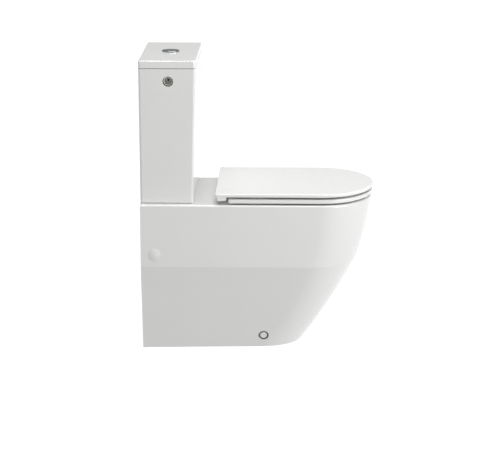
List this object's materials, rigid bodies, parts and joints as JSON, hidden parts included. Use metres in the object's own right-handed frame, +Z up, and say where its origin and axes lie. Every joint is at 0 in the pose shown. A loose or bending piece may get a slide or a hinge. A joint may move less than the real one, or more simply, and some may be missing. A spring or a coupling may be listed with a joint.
{
  "type": "close coupled toilet",
  "caption": "Back-to-wall close coupled toilet with a skirted pan, a rectangular cistern, a split push button and a slim soft-close seat and cover.",
  "frame": {"origin": "on the floor, below the middle of the whole object", "axes": "+X to the right seen from the front, -Y to the front of the pan, +Y to the wall, +Z up"},
  "size_m": [0.366, 0.65, 0.8325],
  "materials": {
    "white_china": "glossy glaze",
    "seat_plastic": "gloss moulded",
    "trim_plastic": "gloss moulded",
    "dark_trim": "satin",
    "button_chrome": "polished",
    "hinge_steel": "satin",
    "fixing_steel": "zinc plated",
    "wing_brass": "cast",
    "black_rubber": "matt",
    "buffer_rubber": "matt",
    "seal_rubber": "matt",
    "valve_plastic": "satin",
    "valve_blue_plastic": "satin",
    "black_plastic": "satin",
    "damper_plastic": "satin",
    "bracket_plastic": "satin"
  },
  "bodies": {
    "pan": {"pan": "white_china", "cistern": "white_china", "service_caps": "trim_plastic", "fixing_caps": "trim_plastic", "fixing_rings": "dark_trim", "fixing_screws": "fixing_steel", "floor_brackets": "bracket_plastic", "cistern_gasket": "black_rubber", "cistern_bolts": "fixing_steel", "bolt_rubber_washers": "black_rubber", "bolt_steel_washers": "fixing_steel", "wing_nuts": "wing_brass", "flush_valve_base": "valve_plastic", "flush_valve_washer": "black_rubber", "flush_valve_nut": "valve_plastic", "flush_valve_tower": "valve_plastic", "flush_valve_cap": "valve_blue_plastic", "fill_valve": "black_plastic", "fill_valve_washer": "black_rubber", "hinge_posts": "hinge_steel", "hinge_pads": "buffer_rubber", "hinge_studs": "fixing_steel", "hinge_bushes": "black_rubber", "hinge_nuts": "valve_plastic", "hinge_pins": "hinge_steel"},
    "seat": {"seat_ring": "seat_plastic", "seat_buffers": "buffer_rubber", "seat_dampers": "damper_plastic"},
    "cover": {"seat_cover": "seat_plastic", "cover_buffers": "buffer_rubber", "cover_dampers": "damper_plastic"},
    "cistern_lid": {"cistern_lid": "white_china", "lid_pads": "buffer_rubber", "button_bezel": "button_chrome", "bezel_nut": "valve_plastic"},
    "full_button": {"full_flush_button": "button_chrome", "full_flush_rod": "valve_plastic"},
    "half_button": {"half_flush_button": "button_chrome", "half_flush_rod": "valve_blue_plastic"},
    "flush_lift": {"overflow_tube": "valve_plastic", "flush_seal": "seal_rubber"},
    "float": {"float_cup": "valve_plastic", "float_rod": "valve_blue_plastic"}
  },
  "joints": [
    {"name": "seat_hinge", "type": "hinge", "parent": "pan", "child": "seat", "pos_m": [0, 0.108, 0.44], "axis": [1, 0, 0], "range_deg": [-94, 0]},
    {"name": "cover_hinge", "type": "hinge", "parent": "seat", "child": "cover", "pos_m": [0, 0.108, 0.44], "axis": [-1, 0, 0], "range_deg": [0, 94]},
    {"name": "lid_lift", "type": "slide", "parent": "pan", "child": "cistern_lid", "axis": [0, 0, 1], "range_m": [0, 0.12]},
    {"name": "full_button_press", "type": "slide", "parent": "cistern_lid", "child": "full_button", "axis": [0, 0, -1], "range_m": [0, 0.006], "stiffness_N_per_m": 300, "springref_m": -0.003},
    {"name": "half_button_press", "type": "slide", "parent": "cistern_lid", "child": "half_button", "axis": [0, 0, -1], "range_m": [0, 0.006], "stiffness_N_per_m": 300, "springref_m": -0.003},
    {"name": "flush_valve_lift", "type": "slide", "parent": "pan", "child": "flush_lift", "axis": [0, 0, 1], "range_m": [0, 0.0205]},
    {"name": "float_rise", "type": "slide", "parent": "pan", "child": "float", "axis": [0, 0, 1], "range_m": [0, 0.055]}
  ],
  "couplings": [
    {"joint": "flush_valve_lift", "follows": "full_button_press", "ratio": 3.3333}
  ]
}
